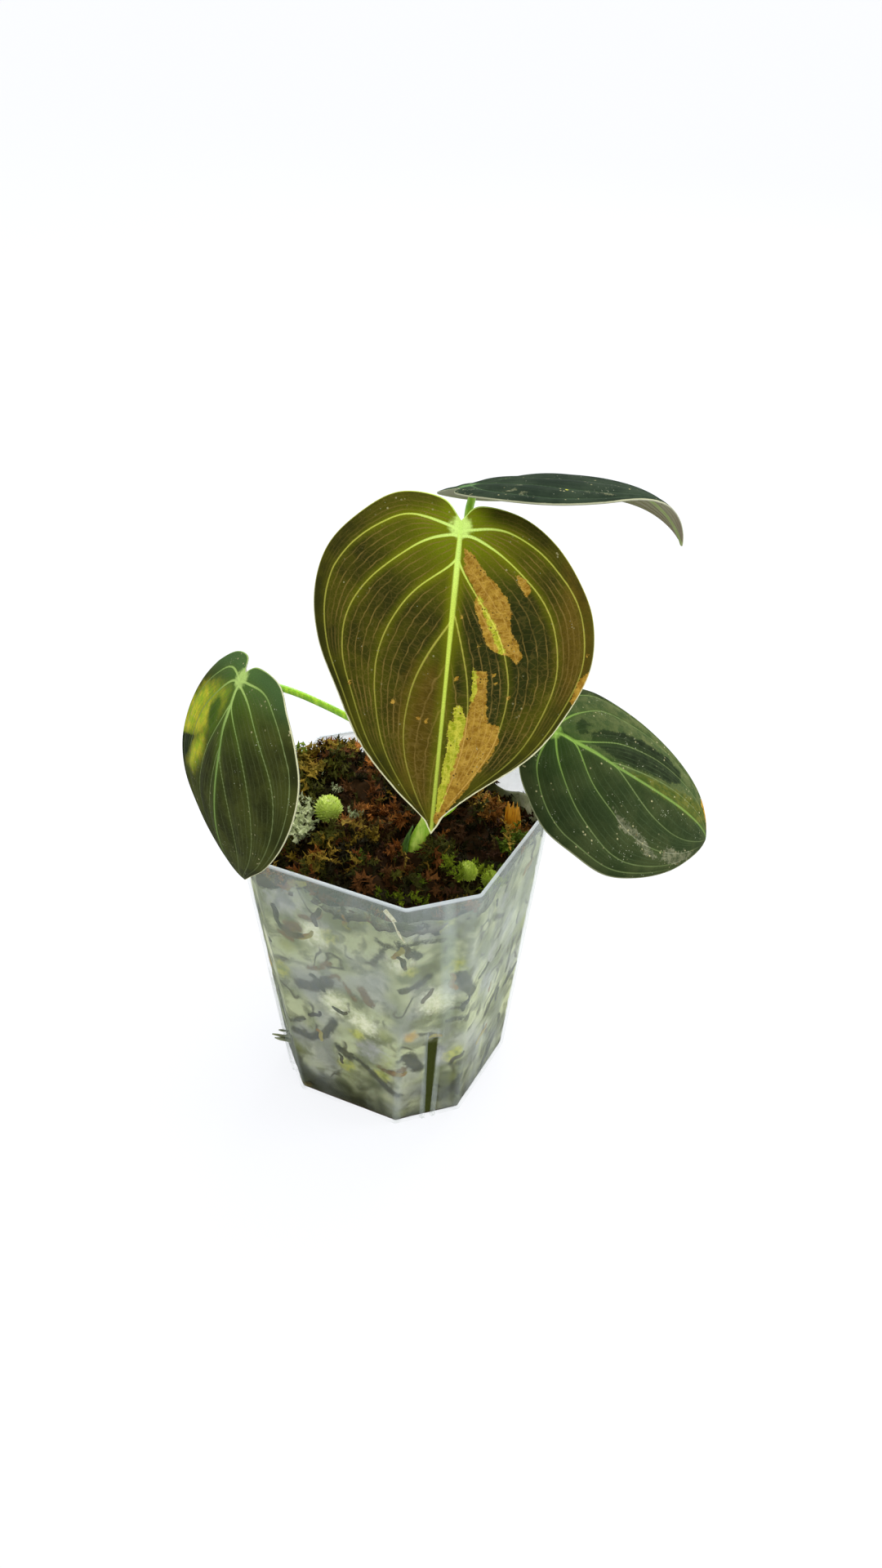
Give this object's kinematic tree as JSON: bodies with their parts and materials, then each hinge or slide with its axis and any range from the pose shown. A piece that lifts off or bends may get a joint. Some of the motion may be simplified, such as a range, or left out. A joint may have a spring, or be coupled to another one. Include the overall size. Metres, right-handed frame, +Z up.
{
  "type": "potted philodendron",
  "caption": "Young climbing plant with heart-shaped velvet leaves on thin petioles, rooted in moss in a tapered clear square pot with cut corners and slits.",
  "frame": {"origin": "middle of the pot's base, on the surface that it stands on", "axes": "+Z up; -Y towards the viewer of the picture, +X to that viewer's right"},
  "size_m": [0.1686, 0.117, 0.2238],
  "materials": {
    "pot_plastic": "thin frosted translucent plastic, slightly scuffed",
    "moss": "damp brown and tan sphagnum strands",
    "moss_green": "pale green star heads of live moss",
    "fern": "amber fibrous tree-fern flake",
    "stem": "smooth green stem with tan roots",
    "petiole": "smooth bright green, slightly translucent",
    "leaf": "dark olive velvet with lime veins and tan and yellow-green patches"
  },
  "bodies": {
    "root": {"pot": "pot_plastic", "moss": "moss", "moss_head_left": "moss_green", "moss_head_front": "moss_green", "moss_head_corner": "moss_green", "fern_chip": "fern", "stem_with_roots": "stem", "sheath": "stem", "petiole_front": "petiole", "petiole_left": "petiole", "petiole_right": "petiole", "petiole_top": "petiole", "leaf_front": "leaf", "leaf_left": "leaf", "leaf_right": "leaf", "leaf_top": "leaf"}
  },
  "joints": []
}
